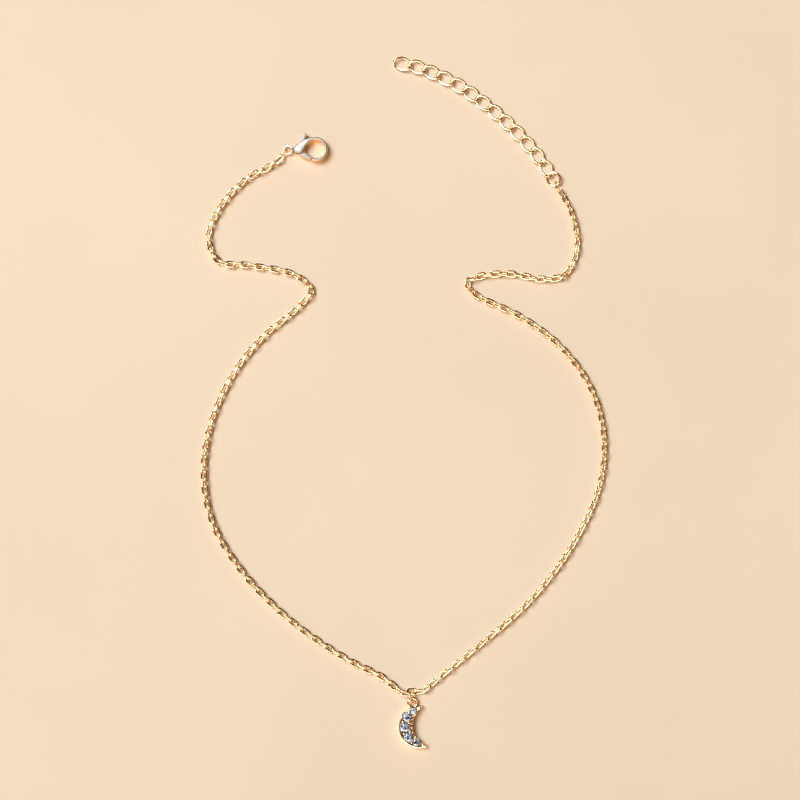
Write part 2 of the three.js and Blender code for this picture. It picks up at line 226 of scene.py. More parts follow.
# The stones: middles and diameters. Each is turned further than the one before.
STONES = [
    ((2.5, -76.95), 1.84),
    ((0.88, -78.5), 2.56),
    ((0.3, -81.08), 2.64),
    ((1.3, -83.55), 2.58),
    ((3.18, -84.85), 1.88),
]
STONE_FIT = 0.04
STONE_TURN = 17
GIRDLE_HEIGHT = 1.86
GIRDLE_HALF = 0.02

# Their cut: radii are shares of a stone's radius, heights and depths of its diameter.
TABLE_RADIUS = 0.56
TABLE_HEIGHT = 0.14
CROWN_RADIUS = 0.79
CROWN_HEIGHT = 0.075
PAVILION_RADIUS = 0.3
PAVILION_DEPTH = 0.33
CULET_DEPTH = 0.43

# ---------------------------------------------------------------- camera, floor and light, in metres

# How wide the view is at a height. The lens and the sensor are in millimetres.
VIEW_WIDTH = 0.2
VIEW_PLANE = 0.001
VIEW_CENTRE = (-0.0009, 0.0006)
LENS = 75
SENSOR = 36
NEAREST = 0.01
FARTHEST = 40
FLOOR_HALF = 12.0
FLOOR_CELLS = 24


def colour_ramp(tree, value, stops):
    """Colours or grey levels at places from 0 to 1."""
    node = tree.nodes.new("ShaderNodeValToRGB")
    elements = node.color_ramp.elements
    while len(elements) < len(stops):
        elements.new(0.5)
    for element, (position, colour) in zip(elements, stops):
        element.position = position
        element.color = (*colour, 1) if isinstance(colour, tuple) else (colour, colour, colour, 1)
    tree.links.new(value, node.inputs["Fac"])
    return node.outputs["Color"]


def add_camera():
    data = bpy.data.cameras.new("camera")
    data.lens = LENS
    data.sensor_width = SENSOR
    data.clip_start = NEAREST
    data.clip_end = FARTHEST
    camera = bpy.data.objects.new("camera", data)
    camera.location = (*VIEW_CENTRE, VIEW_WIDTH * LENS / SENSOR + VIEW_PLANE)
    bpy.context.scene.collection.objects.link(camera)
    bpy.context.scene.camera = camera


def add_light(name, azimuth, zenith, distance, width, height, power, colour, only_gloss=False):
    """A rectangular area light that faces the middle of the necklace."""
    data = bpy.data.lights.new(name, "AREA")
    data.shape = "RECTANGLE"
    data.size = width
    data.size_y = height
    data.energy = power
    data.color = colour
    light = bpy.data.objects.new(name, data)
    flat = math.sin(math.radians(zenith))
    towards = Vector((
        flat * math.cos(math.radians(azimuth)),
        flat * math.sin(math.radians(azimuth)),
        math.cos(math.radians(zenith)),
    ))
    light.location = towards * distance
    light.rotation_mode = "QUATERNION"
    light.rotation_quaternion = towards.to_track_quat("Z", "Y")
    light.visible_camera = False
    light.visible_diffuse = not only_gloss
    bpy.context.scene.collection.objects.link(light)


def add_world(bright_side, stops):
    """A room whose colour changes from the side away from a direction, at 0, to that side, at 1."""
    world = bpy.data.worlds.new("room")
    world.use_nodes = True
    tree = world.node_tree
    direction = tree.nodes.new("ShaderNodeTexCoord").outputs["Generated"]
    facing = tree.nodes.new("ShaderNodeVectorMath")
    facing.operation = "DOT_PRODUCT"
    facing.inputs[1].default_value = bright_side
    tree.links.new(direction, facing.inputs[0])
    share = tree.nodes.new("ShaderNodeMapRange")
    share.inputs["From Min"].default_value = -1
    tree.links.new(facing.outputs["Value"], share.inputs["Value"])
    colour = colour_ramp(tree, share.outputs["Result"], stops)
    tree.links.new(colour, tree.nodes["Background"].inputs["Color"])
    bpy.context.scene.world = world


add_camera()
bpy.context.scene.view_settings.view_transform = "Standard"
add_light(
    "key", azimuth=143, zenith=35, distance=3.0, width=1.7, height=1.7,
    power=108, colour=(0.89, 0.95, 1.0),
)
add_light(
    "reflector", azimuth=-100, zenith=60, distance=1.6, width=2.0, height=0.6,
    power=34, colour=(1.0, 0.98, 0.94), only_gloss=True,
)
add_world(bright_side=(0, -0.8, -0.6), stops=[
    (0.05, (0.03, 0.025, 0.015)),
    (0.22, (0.09, 0.085, 0.05)),
    (0.5, (0.4, 0.18, 0.05)),
    (0.9, (0.88, 0.54, 0.28)),
])

# ---------------------------------------------------------------- materials


class Paint:
    """A material with one Principled shader, and short ways to add nodes to it."""

    def __init__(self, name):
        self.material = bpy.data.materials.new(name)
        self.material.use_nodes = True
        self.tree = self.material.node_tree
        self.shader = self.tree.nodes["Principled BSDF"]
        self.place = self.tree.nodes.new("ShaderNodeTexCoord").outputs["Object"]

    def set(self, **values):
        """Sets constant inputs, each named with _ for its spaces."""
        for name, value in values.items():
            self.shader.inputs[name.replace("_", " ")].default_value = value

    def link(self, output, name):
        self.tree.links.new(output, self.shader.inputs[name])

    def noise(self, scale, detail, stretch=(1, 1, 1)):
        mapping = self.tree.nodes.new("ShaderNodeMapping")
        mapping.inputs["Scale"].default_value = stretch
        self.tree.links.new(self.place, mapping.inputs["Vector"])
        node = self.tree.nodes.new("ShaderNodeTexNoise")
        node.inputs["Scale"].default_value = scale
        node.inputs["Detail"].default_value = detail
        self.tree.links.new(mapping.outputs["Vector"], node.inputs["Vector"])
        return node.outputs["Fac"]

    def cells(self, scale, facet_shift):
        """A random grey level in each cell of a mosaic, which starts afresh on each facet."""
        shifted = self.tree.nodes.new("ShaderNodeVectorMath")
        shifted.operation = "MULTIPLY_ADD"
        shifted.inputs[1].default_value = (facet_shift, facet_shift, facet_shift)
        normal = self.tree.nodes.new("ShaderNodeTexCoord").outputs["Normal"]
        self.tree.links.new(normal, shifted.inputs[0])
        self.tree.links.new(self.place, shifted.inputs[2])
        node = self.tree.nodes.new("ShaderNodeTexVoronoi")
        node.inputs["Scale"].default_value = scale
        self.tree.links.new(shifted.outputs["Vector"], node.inputs["Vector"])
        return node.outputs["Color"]

    def ramp(self, value, stops):
        return colour_ramp(self.tree, value, stops)

    def bump(self, value, height, strength):
        node = self.tree.nodes.new("ShaderNodeBump")
        node.inputs["Distance"].default_value = height
        node.inputs["Strength"].default_value = strength
        self.tree.links.new(value, node.inputs["Height"])
        self.link(node.outputs["Normal"], "Normal")


def polished_gold():
    paint = Paint("polished_gold")
    paint.set(Metallic=1.0)
    tone = paint.noise(scale=700, detail=3)
    paint.link(paint.ramp(tone, [(0.35, (0.94, 0.7, 0.44)), (0.65, (0.97, 0.75, 0.5))]), "Base Color")
    wear = paint.noise(scale=2600, detail=4)
    paint.link(paint.ramp(wear, [(0.3, 0.08), (0.7, 0.17)]), "Roughness")
    grain = paint.noise(scale=5200, detail=2, stretch=(1, 1, 2.5))
    paint.bump(grain, height=4e-6, strength=0.5)
    return paint.material


def satin_gold():
    """The clasp's cast metal, satin-rough. Its colour is painted light, set by which way each surface
    faces: pale on top, orange-gold on the walls for a painted reflection of the warm floor, and a
    dark band of painted shade on the rounded edges between them.
    """
    paint = Paint("satin_gold")
    paint.set(Metallic=1.0)
    geometry = paint.tree.nodes.new("ShaderNodeNewGeometry")
    parts = paint.tree.nodes.new("ShaderNodeSeparateXYZ")
    paint.tree.links.new(geometry.outputs["Normal"], parts.inputs["Vector"])
    up = paint.tree.nodes.new("ShaderNodeMath")
    up.operation = "ABSOLUTE"
    paint.tree.links.new(parts.outputs["Z"], up.inputs[0])
    # Painted light: the orange-gold walls paint the floor's warm reflection, and the dark band paints
    # shade on the rounded rims.
    painted_light_walls_to_top = [(0.45, (0.95, 0.62, 0.33)), (0.65, (0.4, 0.33, 0.25)),
                    (0.82, (0.29, 0.265, 0.22)), (0.95, (0.385, 0.365, 0.325))]
    paint.link(paint.ramp(up.outputs["Value"], painted_light_walls_to_top), "Base Color")
    wear = paint.noise(scale=3000, detail=3)
    paint.link(paint.ramp(wear, [(0.3, 0.44), (0.7, 0.52)]), "Roughness")
    paint.bump(paint.noise(scale=9000, detail=2), height=5e-6, strength=0.4)
    return paint.material


def spring_steel():
    paint = Paint("spring_steel")
    paint.set(Metallic=1.0)
    tone = paint.noise(scale=4000, detail=2)
    paint.link(paint.ramp(tone, [(0.3, (0.5, 0.49, 0.46)), (0.7, (0.62, 0.6, 0.57))]), "Base Color")
    paint.link(paint.ramp(tone, [(0.3, 0.25), (0.7, 0.4)]), "Roughness")
    return paint.material


def clear_stone():
    paint = Paint("clear_stone")
    paint.set(Metallic=0.0, IOR=2.15, Roughness=0.02, Transmission_Weight=0.3)
    # The base colour is a mosaic of cells, new on each facet. The blue is the stones' own tint, and the
    # near-black navy and near-white cells are painted reflections and sparkles of the facets.
    painted_sparkle_cells = paint.cells(scale=2200, facet_shift=0.02)
    tint_and_painted_reflection_tones = [(0.34, (0.002, 0.004, 0.02)), (0.4, (0.03, 0.05, 0.2)), (0.46, (0.13, 0.22, 0.6)),
             (0.52, (0.42, 0.55, 0.88)), (0.56, (0.92, 0.97, 1.0))]
    paint.link(paint.ramp(painted_sparkle_cells, tint_and_painted_reflection_tones), "Base Color")
    return paint.material


def pale_surface():
    paint = Paint("pale_surface")
    paint.set(Roughness=0.75, Specular_IOR_Level=0.2)
    cloudy = paint.noise(scale=14, detail=3)
    paint.link(paint.ramp(cloudy, [(0.3, (0.86, 0.7, 0.52)), (0.7, (0.89, 0.73, 0.545))]), "Base Color")
    paint.bump(paint.noise(scale=260, detail=4), height=1.2e-4, strength=0.12)
    return paint.material


GOLD = polished_gold()
SATIN = satin_gold()
STEEL = spring_steel()
CRYSTAL = clear_stone()

# ---------------------------------------------------------------- mesh helpers


def millimetres(points):
    return [Vector(point) * MM for point in points]


def add_piece(name, mesh, material, body, node):
    """Puts a mesh, drawn in metres where it is at rest, on its body in place of its CAD node."""
    mesh.name = name
    mesh.materials.clear()
    mesh.materials.append(material)
    piece = bpy.data.objects.new(name, mesh)
    bpy.context.scene.collection.objects.link(piece)
    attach(piece, body)
    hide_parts(node)
    return piece


def mesh_of(parts, sharp=180):
    """One mesh from (vertices in millimetres, faces) pairs, smooth but for edges above an angle."""
    vertices, faces = [], []
    for part_vertices, part_faces in parts:
        start = len(vertices)
        vertices += millimetres(part_vertices)
        faces += [[start + corner for corner in face] for face in part_faces]
    mesh = bpy.data.meshes.new("mesh")
    mesh.from_pydata(vertices, [], faces)
    mesh.validate()
    mesh.shade_smooth()
    mesh.set_sharp_from_angle(angle=math.radians(sharp))
    return mesh


def round_section(wire, flat=1.0, sides=WIRE_SIDES):
    """Points round a wire's section, cut flat above and below at a share of its radius."""
    points = []
    for i in range(sides):
        angle = 2 * math.pi * (i + 0.5) / sides
        across, up = math.cos(angle), max(-flat, min(flat, math.sin(angle)))
        points.append((wire / 2 * across, wire / 2 * up))
    return points


def wire_loop(length, width, section, wire, twist=0, steps=LINK_STEPS, oval=False):
    """A closed wire link in the xy plane: an oval, or straight sides with half-round ends."""
    radius = (width - wire) / 2
    stretch = (length - width) / 2
    count = len(section)
    vertices, faces = [], []
    for i in range(steps):
        angle = 2 * math.pi * (i + 0.5) / steps
        outward = Vector((math.cos(angle), math.sin(angle), 0))
        middle = outward * radius
        middle.x += stretch * (outward.x if oval else math.copysign(1, outward.x))
        for across, up in section:
            vertex = middle + outward * across + Vector((0, 0, up))
            turn = -math.radians(twist) * vertex.x / (length / 2)
            vertices.append(Matrix.Rotation(turn, 3, "X") @ vertex)
    for i in range(steps):
        for j in range(count):
            a, b = i * count + j, i * count + (j + 1) % count
            c, d = (b + count) % (steps * count), (a + count) % (steps * count)
            faces.append((a, d, c, b))
    return vertices, faces


def moved(part, matrix):
    """A pair of vertices and faces, put in its place."""
    vertices, faces = part
    return [matrix @ Vector(vertex) for vertex in vertices], faces


# ---------------------------------------------------------------- routes


class Route:
    """A centripetal Catmull-Rom curve through points on the surface, measured along its length."""

    DIVISIONS = 600
    HEADING_STEP = 1e-4

    def __init__(self, points):
        self.points = [Vector(point) for point in points]
        places = [self.point(i / self.DIVISIONS) for i in range(self.DIVISIONS + 1)]
        self.lengths = [0.0]
        for before, after in zip(places, places[1:]):
            self.lengths.append(self.lengths[-1] + (after - before).length)
        self.length = self.lengths[-1]

    def point(self, t):
        last = len(self.points) - 1
        i = min(int(t * last), last - 1)
        weight = t * last - i
        p1, p2 = self.points[i], self.points[i + 1]
        p0 = self.points[i - 1] if i > 0 else 2 * p1 - p2
        p3 = self.points[i + 2] if i + 2 <= last else 2 * p2 - p1
        d0, d1, d2 = (math.sqrt((b - a).length) for a, b in ((p0, p1), (p1, p2), (p2, p3)))
        t1 = ((p1 - p0) / d0 - (p2 - p0) / (d0 + d1) + (p2 - p1) / d1) * d1
        t2 = ((p2 - p1) / d1 - (p3 - p1) / (d1 + d2) + (p3 - p2) / d2) * d1
        c2 = -3 * p1 + 3 * p2 - 2 * t1 - t2
        c3 = 2 * p1 - 2 * p2 + t1 + t2
        return p1 + t1 * weight + c2 * weight ** 2 + c3 * weight ** 3

    def place(self, distance):
        """The point and the heading at a distance along the route."""
        i = 0
        while i < self.DIVISIONS - 1 and self.lengths[i + 1] < distance:
            i += 1
        share = (distance - self.lengths[i]) / (self.lengths[i + 1] - self.lengths[i])
        t = min(max((i + share) / self.DIVISIONS, 0), 1)
        after = self.point(min(t + self.HEADING_STEP, 1))
        before = self.point(max(t - self.HEADING_STEP, 0))
        forward = after - before
        return self.point(t), math.atan2(forward.y, forward.x)


def placed(point, heading, height, roll=0):
    """The matrix of a piece drawn along x, put at a place on a route."""
    return (Matrix.Translation((point.x, point.y, height))
            @ Matrix.Rotation(heading, 4, "Z")
            @ Matrix.Rotation(math.radians(roll), 4, "X"))


def ahead(place, distance):
    """The point straight ahead of a place on a route."""
    point, heading = place
    return point + Vector((math.cos(heading), math.sin(heading))) * distance


# ---------------------------------------------------------------- cable chain


def link_roll(number, total, end_roll):
    """The roll of a link: a quarter turn from its neighbours, settling from the end links' rolls."""
    from_centre = min(number / SETTLING_LINKS, 1)
    from_end = min((total - number) / SETTLING_LINKS, 1)
    roll = CENTRE_ROLL + (NARROW_ROLL - CENTRE_ROLL) * from_centre
    roll = end_roll + (roll - end_roll) * from_end
    return roll + 90 * (number % 2)


def chain_link(matrix, length, width, wire=CHAIN_WIRE):
    return moved(wire_loop(length, width, round_section(wire, CHAIN_FLAT), wire), matrix)


def add_chain(side, points, runs):
    """One side of the chain, from the middle to its end link, whose place it returns."""
    route = Route(points)
    total = runs * LINKS_PER_RUN + 1
    pitch = route.length / total
    length = pitch + 2 * CHAIN_WIRE + LINK_PLAY
    # link_roll adds a quarter turn to an odd end link. An even one is set half a turn back, where it
    # looks the same and lies nearer to the narrow roll.
    end_roll = END_ROLL - (90 if total % 2 else 180)
    chance = random.Random(side)
    for run in range(1, runs + 1):
        first = (run - 1) * LINKS_PER_RUN + 1
        links = []
        for number in range(first, first + LINKS_PER_RUN):
            roll = link_roll(number, total, end_roll) + chance.uniform(-ROLL_SPREAD, ROLL_SPREAD)
            matrix = placed(*route.place(number * pitch), CHAIN_AXIS_HEIGHT, roll)
            links.append(chain_link(matrix, length, CHAIN_LINK_WIDTH))
        node = f"{side}_chain_{run:02d}"
        add_piece(f"{side}_links_{run:02d}", mesh_of(links), GOLD, node, node)
    end = route.place(route.length)
    node = f"{side}_end_link"
    matrix = placed(*end, CHAIN_CAD_HEIGHT, END_ROLL)
    link = chain_link(matrix, pitch + 2 * END_LINK_WIRE, END_LINK_WIDTH, END_LINK_WIRE)
    add_piece(f"{side}_last_link", mesh_of([link]), GOLD, node, node)
    return end


left_end = add_chain("left", LEFT_ROUTE, LEFT_RUNS)
right_end = add_chain("right", RIGHT_ROUTE, RIGHT_RUNS)

centre = placed(Vector(LEFT_ROUTE[0]), 0, CHAIN_CAD_HEIGHT, CENTRE_ROLL)
add_piece(
    "pendant_link",
    mesh_of([chain_link(centre, CENTRE_LINK_LENGTH, END_LINK_WIDTH, END_LINK_WIRE)]),
    GOLD, "centre_link", "centre_link",
)

# ---------------------------------------------------------------- extender chain


def ring(diameter, wire):
    return wire_loop(diameter, diameter, round_section(wire), wire, steps=RING_STEPS)


def add_extender():
    radius = (EXTENDER_RING_DIAMETER - EXTENDER_WIRE) / 2
    middle = ahead(right_end, WIRE_IN_LINK + radius)
    matrix = placed(middle, right_end[1], EXTENDER_AXIS_HEIGHT, EXTENDER_RING_ROLL)
    jump_ring = moved(ring(EXTENDER_RING_DIAMETER, EXTENDER_WIRE), matrix)
    add_piece("extender_jump_ring", mesh_of([jump_ring]), GOLD, "extender_ring", "extender_ring")

    route = Route([tuple(middle)] + EXTENDER_ROUTE)
    section = round_section(EXTENDER_WIRE, EXTENDER_FLAT)
    for number in range(1, EXTENDER_LINKS + 1):
        place = route.place(EXTENDER_FIRST_REACH + (number - 1) * EXTENDER_PITCH)
        link = wire_loop(EXTENDER_LINK_LENGTH, EXTENDER_LINK_WIDTH, section, EXTENDER_WIRE,
                         twist=EXTENDER_TWIST, steps=RING_STEPS, oval=True)
        node = f"extender_link_{number:02d}"
        mesh = mesh_of([moved(link, placed(*place, EXTENDER_AXIS_HEIGHT))])
        add_piece(f"curb_link_{number:02d}", mesh, GOLD, node, node)


add_extender()

# ---------------------------------------------------------------- outlines, plates and cuts


def on_circle(radius, degrees, centre=(0, 0)):
    angle = math.radians(degrees)
    return centre[0] + radius * math.cos(angle), centre[1] + radius * math.sin(angle)


def arc(radius, start, end, count, centre=(0, 0)):
    return [on_circle(radius, start + (end - start) * i / count, centre) for i in range(count + 1)]


def spline(points, steps=6):
    """Points on a uniform Catmull-Rom curve through the given ones."""
    points = [Vector(point) for point in points]
    out = []
    for i in range(len(points) - 1):
        p1, p2 = points[i], points[i + 1]
        p0 = points[max(i - 1, 0)]
        p3 = points[min(i + 2, len(points) - 1)]
        for j in range(steps):
            t = j / steps
            v0, v1 = (p2 - p0) / 2, (p3 - p1) / 2
            out.append(tuple((2 * p1 - 2 * p2 + v0 + v1) * t ** 3
                             + (-3 * p1 + 3 * p2 - 2 * v0 - v1) * t ** 2 + v0 * t + p1))
    return out + [tuple(points[-1])]


def without_repeats(points):
    kept = []
    for point in points:
        if not kept or math.dist(point, kept[-1]) > SAME_POINT:
            kept.append(point)
    if math.dist(kept[0], kept[-1]) < SAME_POINT:
        kept.pop()
    return kept


def winding(outline):
    """1 for an anticlockwise outline, and -1 for a clockwise one."""
    before = outline[-1:] + outline[:-1]
    return math.copysign(1, sum(a[0] * b[1] - b[0] * a[1] for a, b in zip(before, outline)))


def with_room(outline, rounding):
    """The outline without the points that a rounded rim would overlap next to an outer corner."""
    count = len(outline)
    way_round = winding(outline)
    reaches = {}
    for i in range(count):
        before, here, after = (Vector(outline[(i + step) % count]) for step in (-1, 0, 1))
        turn = way_round * (after - here).angle_signed(here - before)
        if turn > math.radians(CORNER_TURN):
            reaches[i] = rounding * math.tan(turn / 2)

    def has_room(point):
        return all(math.dist(point, outline[corner]) > reach for corner, reach in reaches.items())

    return [point for i, point in enumerate(outline) if i in reaches or has_room(point)]


def plate(outline, thickness, rounding, z=0.0, segments=4):
    """A mesh, in millimetres, of a flat plate centred on z with rounded rims."""
    bm = bmesh.new()
    outline = with_room(without_repeats(outline), rounding)
    face = bm.faces.new([bm.verts.new((x, y, z - thickness / 2)) for x, y in outline])
    grown = bmesh.ops.extrude_face_region(bm, geom=[face])["geom"]
    lifted = [part for part in grown if isinstance(part, bmesh.types.BMVert)]
    bmesh.ops.translate(bm, verts=lifted, vec=(0, 0, thickness))
    bmesh.ops.recalc_face_normals(bm, faces=bm.faces)
    rims = [edge for edge in bm.edges if abs(edge.verts[0].co.z - edge.verts[1].co.z) < LEVEL]
    bmesh.ops.bevel(bm, geom=rims, offset=rounding, segments=segments, profile=0.5,
                    affect="EDGES", clamp_overlap=False)
    mesh = bpy.data.meshes.new("plate")
    bm.to_mesh(mesh)
    bm.free()
    return mesh


def drum(radius, bottom, top, x, y, top_radius=None):
    """An upright closed drum, in millimetres, which may narrow or widen towards its top."""
    low, high = (
        [on_circle(r, 360 * i / DRUM_SIDES, (x, y)) for i in range(DRUM_SIDES)]
        for r in (radius, top_radius or radius)
    )
    return slab(low, bottom, high, top)


def dome(radius, bottom, top, x, y):
    """An upright post with a round head, in millimetres."""
    sides = DOME_SIDES
    profile = [(radius, bottom)]
    for i in range(DOME_ROWS):
        angle = math.pi / 2 * i / DOME_ROWS
        profile.append((radius * math.cos(angle), top - radius + radius * math.sin(angle)))
    vertices = [on_circle(r, 360 * i / sides, (x, y)) + (z,) for r, z in profile for i in range(sides)]
    faces = [list(range(sides))[::-1]]
    for row in range(len(profile) - 1):
        for i in range(sides):
            a, b = row * sides + i, row * sides + (i + 1) % sides
            faces.append((a, b, b + sides, a + sides))
    vertices.append((x, y, top))
    last = (len(profile) - 1) * sides
    faces += [(last + i, last + (i + 1) % sides, len(vertices) - 1) for i in range(sides)]
    return raw_mesh((vertices, faces))


def slab(low_outline, low, high_outline, high):
    """A closed mesh, in millimetres, between two outlines with the same number of points."""
    count = len(low_outline)
    corners = [(x, y, low) for x, y in low_outline] + [(x, y, high) for x, y in high_outline]
    faces = [list(range(count))[::-1], list(range(count, 2 * count))]
    faces += [(i, (i + 1) % count, (i + 1) % count + count, i + count) for i in range(count)]
    return raw_mesh((corners, faces))


def box(low, high):
    corners = list(itertools.product(*zip(low, high)))
    faces = [(0, 1, 3, 2), (4, 6, 7, 5), (0, 4, 5, 1), (2, 3, 7, 6), (0, 2, 6, 4), (1, 5, 7, 3)]
    return raw_mesh((corners, faces))


def raw_mesh(part):
    """A mesh left in millimetres, for cutting."""
    mesh = bpy.data.meshes.new("part")
    mesh.from_pydata([Vector(vertex) for vertex in part[0]], [], part[1])
    return mesh


def combined(base, steps):
    """The base mesh after unions and cuts with other meshes, each given as (operation, mesh)."""
    scene = bpy.context.scene.collection.objects
    base_object = bpy.data.objects.new("base", base)
    scene.link(base_object)
    tools = []
    for operation, mesh in steps:
        tool = bpy.data.objects.new("tool", mesh)
        scene.link(tool)
        tools.append(tool)
        modifier = base_object.modifiers.new(operation, "BOOLEAN")
        modifier.operation = operation
        modifier.solver = "EXACT"
        modifier.object = tool
    bpy.context.view_layer.update()
    seen = base_object.evaluated_get(bpy.context.evaluated_depsgraph_get())
    result = bpy.data.meshes.new_from_object(seen)
    for item in [base_object] + tools:
        bpy.data.objects.remove(item)
    return result


def finished(mesh, offset=(0, 0, 0), sharp=SHARP_EDGE):
    """The mesh moved by an offset, turned into metres, and smooth but for its sharp edges."""
    mesh.transform(Matrix.Scale(MM, 4) @ Matrix.Translation(offset))
    mesh.shade_smooth()
    mesh.set_sharp_from_angle(angle=math.radians(sharp))
    return mesh


# ---------------------------------------------------------------- clasp

clasp_ring_radius = (CLASP_RING_DIAMETER - CLASP_RING_WIRE) / 2
clasp_ring_tilt = Matrix.Rotation(-math.radians(CLASP_RING_TILT), 4, "Y")


def on_clasp_ring(degrees):
    """A place on the ring's wire, from the ring's middle."""
    return clasp_ring_tilt @ Vector((*on_circle(clasp_ring_radius, degrees), 0))


wire_in_eye = on_clasp_ring(0)
clasp_ring_middle = ahead(left_end, WIRE_IN_LINK).to_3d() - on_clasp_ring(CLASP_RING_HEADING + 180)
clasp_ring_middle.z = CLASP_THICKNESS / 2 - wire_in_eye.z
clasp_origin = clasp_ring_middle + wire_in_eye - Vector((*EYE_CENTRE, 0))


def clasp_outline():
    """The hook's back, the body down to its tail, its underside, and the inside of the hook."""
    outline = arc(HOOK_OUTER, HOOK_TIP_OUTSIDE, HOOK_BACK_ANGLE, HOOK_OUTER_STEPS)
    outline += spline([outline[-1], (-1.8, 2.72), (-3.4, 1.98), (-4.8, 1.0), (-5.5, 0.35)])
    outline.append((-5.5, -0.5))
    outline += spline([outline[-1], (-4.9, -0.85), (-4.1, -1.0), (-3.35, -0.8)])
    root = on_circle(HOOK_INNER, HOOK_ROOT_ANGLE)
    outline += spline([outline[-1], (-2.8, 0.1), (-2.4, 0.85), root])
    outline += arc(HOOK_INNER, HOOK_ROOT_ANGLE, HOOK_TIP_INSIDE, HOOK_INNER_STEPS)
    return outline


def tapered(mesh):
    """The clasp's body thins towards the eye at its tail."""
    for vertex in mesh.vertices:
        share = min(max((TAPER_START - vertex.co.x) / TAPER_LENGTH, 0), 1)
        vertex.co.z *= 1 - TAPER_SHARE * share ** TAPER_POWER
    return mesh


def clasp_body():
    body = tapered(plate(clasp_outline(), CLASP_THICKNESS, CLASP_ROUNDING))
    upright = Matrix.Translation((*EYE_CENTRE, 0)) @ Matrix.Rotation(math.pi / 2, 4, "X")
    wider = Matrix.Diagonal((1, 1, EYE_WIDENING, 1))
    eye = moved(ring(2 * EYE_RADIUS + EYE_WIRE, EYE_WIRE), upright @ wider)
    slot = box((SLOT_START, -SLOT_REACH, -SLOT_WIDTH / 2), (SLOT_END, SLOT_REACH, SLOT_WIDTH / 2))
    hole = drum(RIVET_RADIUS + RIVET_FIT, -HOLE_REACH, HOLE_REACH, *PIVOT)
    return combined(body, [("UNION", raw_mesh(eye)), ("DIFFERENCE", slot), ("DIFFERENCE", hole)])


def lever_mesh():
    """The thin arm with its thumb nub, joined to the thick gate that closes the hook."""
    arm = spline([(-3.1, 3.95), (-3.35, 3.3), (-3.5, 2.2), (-3.9, 1.2), (-3.95, 0.0), (-3.7, -1.0)])
    arm += [(-3.6, -1.6), (-2.4, -1.6)]
    arm += spline([(-2.8, 0.2), (-2.7, 1.4), (-2.65, 2.2), (-2.3, 3.3), (-2.2, 3.95)])
    gate = spline([(-4.4, -1.22), (-3.4, -1.88), (-2.3, -2.3), (-1.35, -2.6)])
    gate += spline([(-0.5, -2.08), (-1.3, -1.8), (-2.0, -1.35), (-2.45, -0.8)])
    gate.append((-3.2, -1.15))
    hole = drum(RIVET_RADIUS + LEVER_FIT, -HOLE_REACH, HOLE_REACH, *PIVOT)
    steps = [("UNION", plate(gate, GATE_THICKNESS, GATE_ROUNDING)), ("DIFFERENCE", hole)]
    return combined(plate(arm, LEVER_THICKNESS, LEVER_ROUNDING), steps)


def spring_mesh():
    steps = SPRING_TURN_STEPS * SPRING_TURNS
    section = round_section(SPRING_WIRE, sides=SPRING_WIRE_SIDES)
    count = len(section)
    vertices, faces = [], []
    for i in range(steps + 1):
        angle = 2 * math.pi * SPRING_TURNS * i / steps
        along = SPRING_START + (SPRING_END - SPRING_START) * i / steps
        outward = Vector((0, math.cos(angle), math.sin(angle)))
        middle = outward * SPRING_RADIUS + Vector((along, SPRING_SIDE, 0))
        vertices += [middle + outward * across + Vector((up, 0, 0)) for across, up in section]
    for i in range(steps):
        for j in range(count):
            a, b = i * count + j, i * count + (j + 1) % count
            faces.append((a, b, b + count, a + count))
    faces += [list(range(count))[::-1], list(range(steps * count, (steps + 1) * count))]
    return raw_mesh((vertices, faces))


def add_clasp():
    leaning = Matrix.Translation(clasp_ring_middle) @ clasp_ring_tilt
    diameter = CLASP_RING_DIAMETER + CLASP_RING_THICKENING
    jump_ring = moved(ring(diameter, CLASP_RING_WIRE + CLASP_RING_THICKENING), leaning)
    add_piece("clasp_jump_ring", mesh_of([jump_ring]), GOLD, "clasp_ring", "clasp_ring")

    body = finished(clasp_body(), clasp_origin)
    add_piece("clasp_casting", body, SATIN, "clasp", "clasp_body")
    lever = finished(lever_mesh(), clasp_origin)
    add_piece("clasp_gate", lever, SATIN, "clasp_lever", "clasp_lever")
    rivet = finished(drum(RIVET_RADIUS, -RIVET_HALF_LENGTH, RIVET_HALF_LENGTH, *PIVOT), clasp_origin)
    add_piece("clasp_pin", rivet, SATIN, "clasp", "clasp_rivet")
    spring = finished(spring_mesh(), clasp_origin)
    coil = add_piece("clasp_coil", spring, STEEL, "clasp", "clasp_spring")
    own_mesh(coil)


add_clasp()

# ---------------------------------------------------------------- crescent pendant


def arc_centres():
    """The centres of the crescent's outer and inner arcs, which both pass through its tips."""
    top, bottom = Vector(TOP_TIP), Vector(BOTTOM_TIP)
    half = (top - bottom).length / 2
    middle = (top + bottom) / 2
    across = Vector((top.y - bottom.y, bottom.x - top.x)).normalized()
    outer = middle - across * math.sqrt(OUTER_ARC_RADIUS ** 2 - half ** 2)
    inner = middle + across * math.sqrt(INNER_ARC_RADIUS ** 2 - half ** 2)
    return outer, inner


def crescent_arcs(margin=0.0):
    """The crescent's outline from two arcs, each moved inwards by a margin."""
    outer, inner = arc_centres()
    outer_radius, inner_radius = OUTER_ARC_RADIUS - margin, INNER_ARC_RADIUS + margin
    apart = (inner - outer).length
    across = (inner - outer).normalized()
    reach = (outer_radius ** 2 - inner_radius ** 2 + apart ** 2) / (2 * apart)
    chord = across * reach
    side = Vector((-across.y, across.x)) * math.sqrt(outer_radius ** 2 - reach ** 2)
    tips = sorted((outer + chord + side, outer + chord - side), key=lambda tip: -tip.y)

    def angle(centre, point):
        return math.degrees(math.atan2(point.y - centre.y, point.x - centre.x)) % 360

    top, bottom = angle(outer, tips[0]), angle(outer, tips[1])
    outline = arc(outer_radius, top, bottom, OUTER_ARC_STEPS, outer)
    bottom, top = angle(inner, tips[1]), angle(inner, tips[0])
    return outline + arc(inner_radius, bottom, top, INNER_ARC_STEPS, inner)


